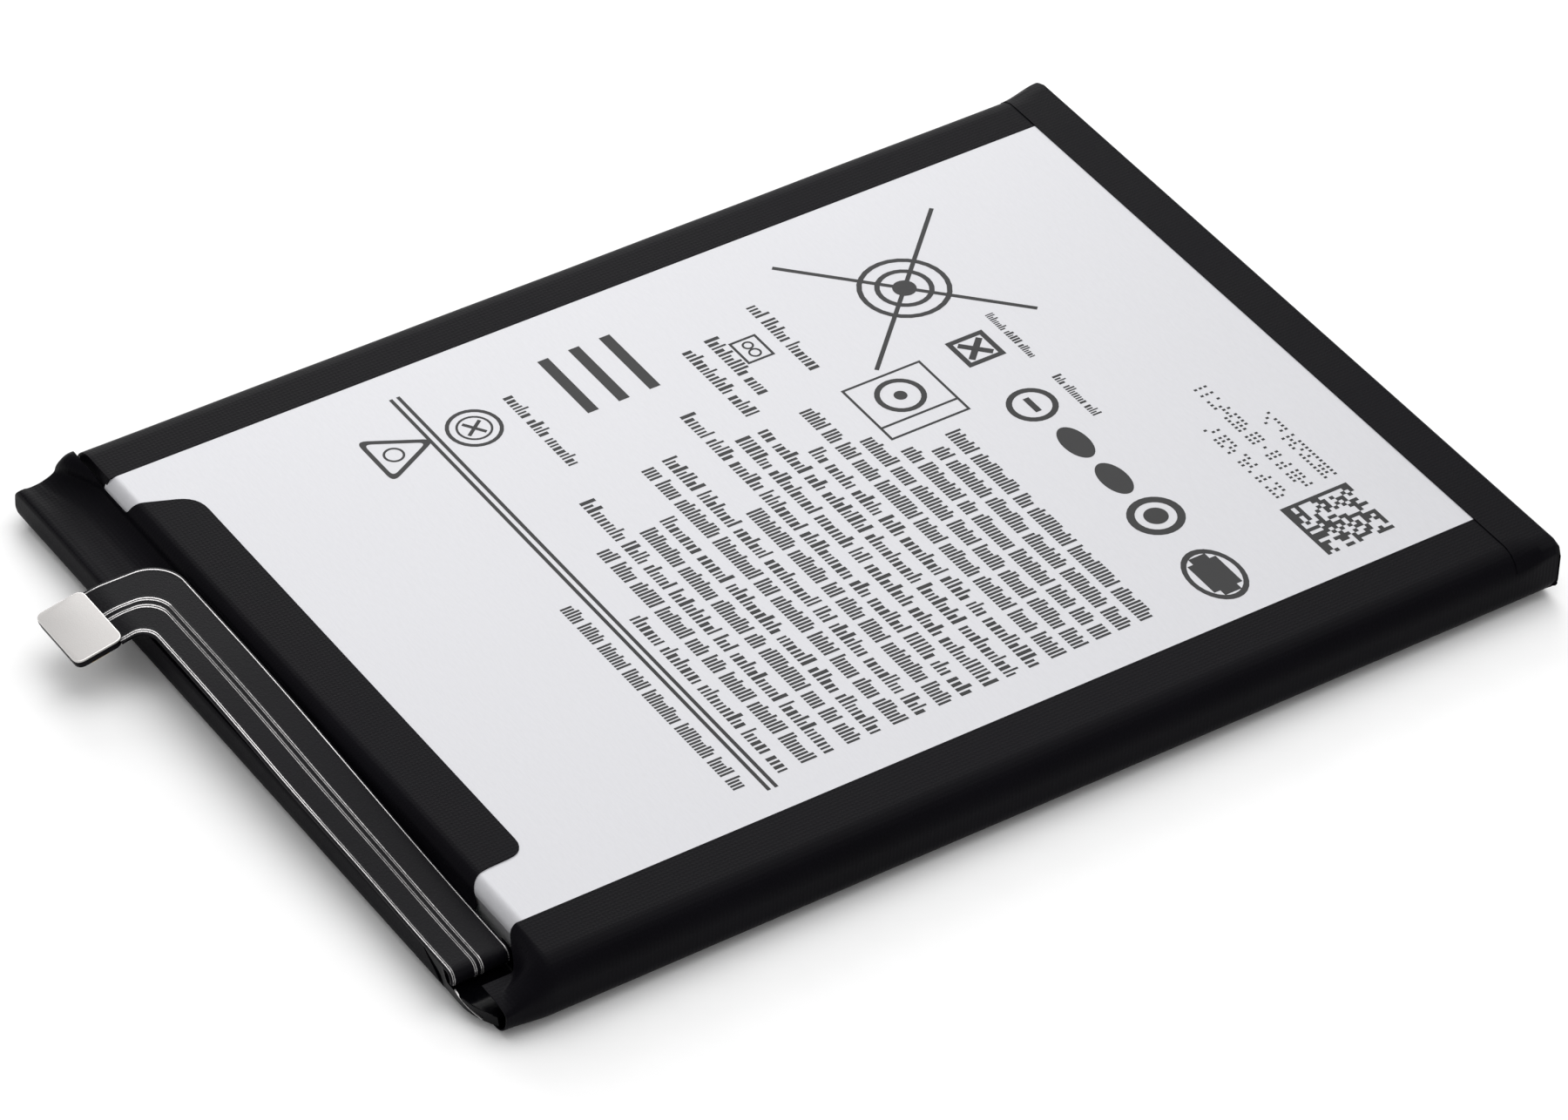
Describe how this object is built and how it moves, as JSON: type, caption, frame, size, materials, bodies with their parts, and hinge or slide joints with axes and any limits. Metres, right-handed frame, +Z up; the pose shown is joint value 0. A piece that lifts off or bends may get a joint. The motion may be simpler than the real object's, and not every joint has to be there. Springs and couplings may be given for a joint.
{
  "type": "lithium-ion polymer pouch battery pack",
  "caption": "Flat rounded-edge pouch battery pack with a silver label face, black wrap tapes, and a folded flex arm that ends in a small board connector on a stiffener plate.",
  "frame": {"origin": "centre of the base face, under the middle of the label", "axes": "+X across the pack towards the side where the flex folds, +Y along the pack away from the connector, +Z up out of the label"},
  "size_m": [0.0638, 0.0939, 0.0047],
  "materials": {
    "pouch_laminate": "satin aluminium laminate film with a nylon skin",
    "label_print": null,
    "black_tape": "matte black polyester wrap tape with a fine grain",
    "gloss_tape": "glossy black tape round the corner of the terrace",
    "flex_film": "black coverlay film, satin, slightly pebbled",
    "copper": "rolled copper",
    "cathode_foil": "coated aluminium foil",
    "anode_foil": "coated copper foil",
    "separator": "white porous film",
    "roll_tape": "blue fixing tape",
    "tab_aluminium": "bright aluminium strip",
    "tab_nickel": "nickel strip",
    "tab_film": "milky sealing film",
    "foam": "black foam pad",
    "board": "green solder mask",
    "black_epoxy": "moulded epoxy body",
    "chip_body": "fired ceramic bodies",
    "polyimide": "amber polyimide film",
    "stiffener": "bead-blasted stainless plate, warm light grey",
    "glue": "thermosetting adhesive",
    "connector_plastic": "black liquid-crystal polymer",
    "contact_gold": "gold-plated copper alloy"
  },
  "bodies": {
    "pack": {"pouch_cup": "pouch_laminate", "pouch_back": "pouch_laminate", "side_seal_left": "pouch_laminate", "side_seal_right": "pouch_laminate", "cathode_sheet": "cathode_foil", "anode_sheet": "anode_foil", "separator_sheets": "separator", "roll_end_tape": "roll_tape", "cathode_tab": "tab_aluminium", "anode_tab": "tab_nickel", "cathode_tab_film": "tab_film", "anode_tab_film": "tab_film", "board_foam": "foam", "circuit_board": "board", "protection_ic": "black_epoxy", "power_mosfets": "black_epoxy", "chip_parts": "chip_body", "thermal_fuse": "tab_nickel", "thermistor": "black_epoxy", "weld_pads": "tab_nickel", "board_film": "polyimide", "label": "label_print", "back_film": "pouch_laminate", "side_tape_left": "black_tape", "side_tape_right": "black_tape", "tail_tape": "black_tape", "head_tape": "black_tape", "corner_tape": "gloss_tape", "flex_root": "flex_film", "flex_fold": "flex_film"},
    "flex_arm": {"arm_base_film": "flex_film", "arm_power_conductors": "copper", "arm_sense_trace": "copper", "arm_cover_film": "flex_film", "flex_neck": "flex_film"},
    "connector": {"flex_tail": "flex_film", "stiffener_adhesive": "glue", "stiffener_plate": "stiffener", "connector_housing": "connector_plastic", "signal_contacts": "contact_gold", "power_contacts": "contact_gold"}
  },
  "joints": [
    {"name": "arm_lift", "type": "hinge", "parent": "pack", "child": "flex_arm", "pos_m": [0.0263, -0.0423, 0.00212], "axis": [0, 1, 0], "range_deg": [0, 100], "stiffness_Nm_per_rad": 0.006, "deforming": ["flex_fold"]},
    {"name": "neck_tilt", "type": "hinge", "parent": "flex_arm", "child": "connector", "pos_m": [-0.0153, -0.0456, 0.00405], "axis": [-1, 0, 0], "range_deg": [-35, 100], "stiffness_Nm_per_rad": 0.004, "deforming": ["flex_neck"]}
  ]
}
